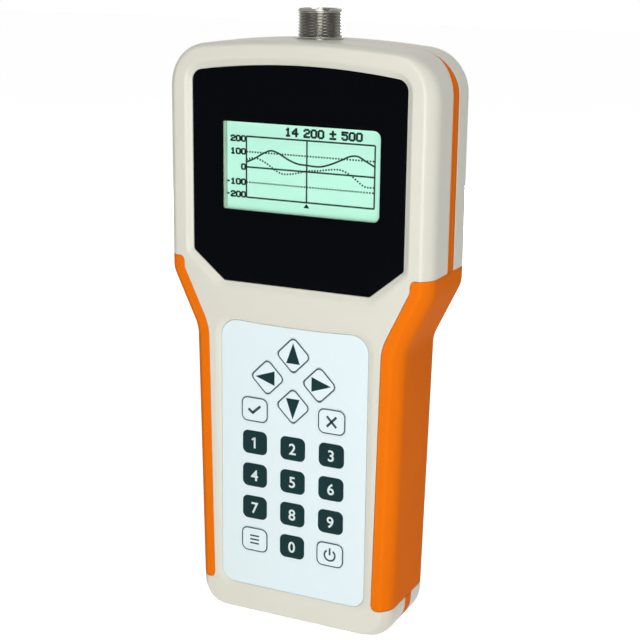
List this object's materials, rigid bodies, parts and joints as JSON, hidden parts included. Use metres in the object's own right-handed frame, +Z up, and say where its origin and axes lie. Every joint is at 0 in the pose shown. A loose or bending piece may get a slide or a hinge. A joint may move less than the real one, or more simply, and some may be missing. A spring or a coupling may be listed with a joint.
{
  "type": "antenna analyzer",
  "caption": "Handheld antenna analyzer: wide head with display and coaxial socket on top, narrow handle with keypad and soft orange grips.",
  "frame": {"origin": "middle of the base, between the front and back faces, on the surface the object stands on", "axes": "+Z up along the case to the antenna socket, -Y out of the face with the display and keypad, +X to the right seen from the front"},
  "size_m": [0.1044, 0.04, 0.23],
  "materials": {
    "shell_plastic": "fine moulded texture, warm white",
    "grip_rubber": "soft matt orange",
    "seal_rubber": "soft matt orange",
    "panel_print": "glossy black, printed behind",
    "lens_clear": "clear acrylic",
    "lcd_cell": "pale green display",
    "module_frame": "white moulded frame",
    "light_guide": "white light guide",
    "circuit_board": "green solder mask",
    "black_plastic": "moulded black",
    "chip_resin": "moulded resin",
    "keypad_film": "cool white printed film",
    "key_print_dark": "embossed film, printed dark teal",
    "key_print_pale": "embossed film, printed outline",
    "spacer_film": "polyester film",
    "spring_steel": "bright spring steel",
    "tinned_steel": "tinned",
    "nickel": "bright nickel plate",
    "insulator": "white fluoropolymer",
    "contact_brass": "gold plated",
    "zinc_steel": "zinc plated",
    "cell_jacket": "plain printed jacket"
  },
  "bodies": {
    "case": {"antenna_socket": "nickel", "battery_cell_1": "cell_jacket", "battery_cell_2": "cell_jacket", "battery_cell_3": "cell_jacket", "battery_plates": "spring_steel", "battery_springs": "spring_steel", "battery_tray": "black_plastic", "board_parts": "chip_resin", "board_screws": "zinc_steel", "buzzer": "black_plastic", "case_screws": "zinc_steel", "case_seal": "seal_rubber", "display_header": "black_plastic", "display_lens": "lens_clear", "display_panel": "panel_print", "flange_screws": "zinc_steel", "front_shell": "shell_plastic", "grip_left": "grip_rubber", "grip_right": "grip_rubber", "keypad_circuit": "spacer_film", "keypad_overlay": "keypad_film", "keypad_spacer": "spacer_film", "keypad_tail": "spacer_film", "lcd_backlight": "light_guide", "lcd_bezel": "module_frame", "lcd_board": "circuit_board", "lcd_glass": "lcd_cell", "main_board": "circuit_board", "processor": "chip_resin", "rear_shell": "shell_plastic", "shield_can": "tinned_steel", "snap_domes": "spring_steel", "socket_contact": "contact_brass", "socket_insulator": "insulator", "tail_socket": "black_plastic", "usb_socket": "tinned_steel"},
    "key_0": {"key_0": "key_print_dark"},
    "key_1": {"key_1": "key_print_dark"},
    "key_2": {"key_2": "key_print_dark"},
    "key_3": {"key_3": "key_print_dark"},
    "key_4": {"key_4": "key_print_dark"},
    "key_5": {"key_5": "key_print_dark"},
    "key_6": {"key_6": "key_print_dark"},
    "key_7": {"key_7": "key_print_dark"},
    "key_8": {"key_8": "key_print_dark"},
    "key_9": {"key_9": "key_print_dark"},
    "key_cancel": {"key_cancel": "key_print_pale"},
    "key_down": {"key_down": "key_print_pale"},
    "key_enter": {"key_enter": "key_print_pale"},
    "key_function": {"key_function": "key_print_pale"},
    "key_left": {"key_left": "key_print_pale"},
    "key_power": {"key_power": "key_print_pale"},
    "key_right": {"key_right": "key_print_pale"},
    "key_up": {"key_up": "key_print_pale"},
    "battery_door": {"battery_door": "shell_plastic"}
  },
  "joints": [
    {"name": "key_0_press", "type": "slide", "parent": "case", "child": "key_0", "axis": [0, 1, 0], "range_m": [0, 0.0004], "stiffness_N_per_m": 3000},
    {"name": "key_1_press", "type": "slide", "parent": "case", "child": "key_1", "axis": [0, 1, 0], "range_m": [0, 0.0004], "stiffness_N_per_m": 3000},
    {"name": "key_2_press", "type": "slide", "parent": "case", "child": "key_2", "axis": [0, 1, 0], "range_m": [0, 0.0004], "stiffness_N_per_m": 3000},
    {"name": "key_3_press", "type": "slide", "parent": "case", "child": "key_3", "axis": [0, 1, 0], "range_m": [0, 0.0004], "stiffness_N_per_m": 3000},
    {"name": "key_4_press", "type": "slide", "parent": "case", "child": "key_4", "axis": [0, 1, 0], "range_m": [0, 0.0004], "stiffness_N_per_m": 3000},
    {"name": "key_5_press", "type": "slide", "parent": "case", "child": "key_5", "axis": [0, 1, 0], "range_m": [0, 0.0004], "stiffness_N_per_m": 3000},
    {"name": "key_6_press", "type": "slide", "parent": "case", "child": "key_6", "axis": [0, 1, 0], "range_m": [0, 0.0004], "stiffness_N_per_m": 3000},
    {"name": "key_7_press", "type": "slide", "parent": "case", "child": "key_7", "axis": [0, 1, 0], "range_m": [0, 0.0004], "stiffness_N_per_m": 3000},
    {"name": "key_8_press", "type": "slide", "parent": "case", "child": "key_8", "axis": [0, 1, 0], "range_m": [0, 0.0004], "stiffness_N_per_m": 3000},
    {"name": "key_9_press", "type": "slide", "parent": "case", "child": "key_9", "axis": [0, 1, 0], "range_m": [0, 0.0004], "stiffness_N_per_m": 3000},
    {"name": "key_cancel_press", "type": "slide", "parent": "case", "child": "key_cancel", "axis": [0, 1, 0], "range_m": [0, 0.0004], "stiffness_N_per_m": 3000},
    {"name": "key_down_press", "type": "slide", "parent": "case", "child": "key_down", "axis": [0, 1, 0], "range_m": [0, 0.0004], "stiffness_N_per_m": 3000},
    {"name": "key_enter_press", "type": "slide", "parent": "case", "child": "key_enter", "axis": [0, 1, 0], "range_m": [0, 0.0004], "stiffness_N_per_m": 3000},
    {"name": "key_function_press", "type": "slide", "parent": "case", "child": "key_function", "axis": [0, 1, 0], "range_m": [0, 0.0004], "stiffness_N_per_m": 3000},
    {"name": "key_left_press", "type": "slide", "parent": "case", "child": "key_left", "axis": [0, 1, 0], "range_m": [0, 0.0004], "stiffness_N_per_m": 3000},
    {"name": "key_power_press", "type": "slide", "parent": "case", "child": "key_power", "axis": [0, 1, 0], "range_m": [0, 0.0004], "stiffness_N_per_m": 3000},
    {"name": "key_right_press", "type": "slide", "parent": "case", "child": "key_right", "axis": [0, 1, 0], "range_m": [0, 0.0004], "stiffness_N_per_m": 3000},
    {"name": "key_up_press", "type": "slide", "parent": "case", "child": "key_up", "axis": [0, 1, 0], "range_m": [0, 0.0004], "stiffness_N_per_m": 3000},
    {"name": "battery_door_lift", "type": "slide", "parent": "case", "child": "battery_door", "axis": [0, 1, 0], "range_m": [0, 0.015]}
  ]
}
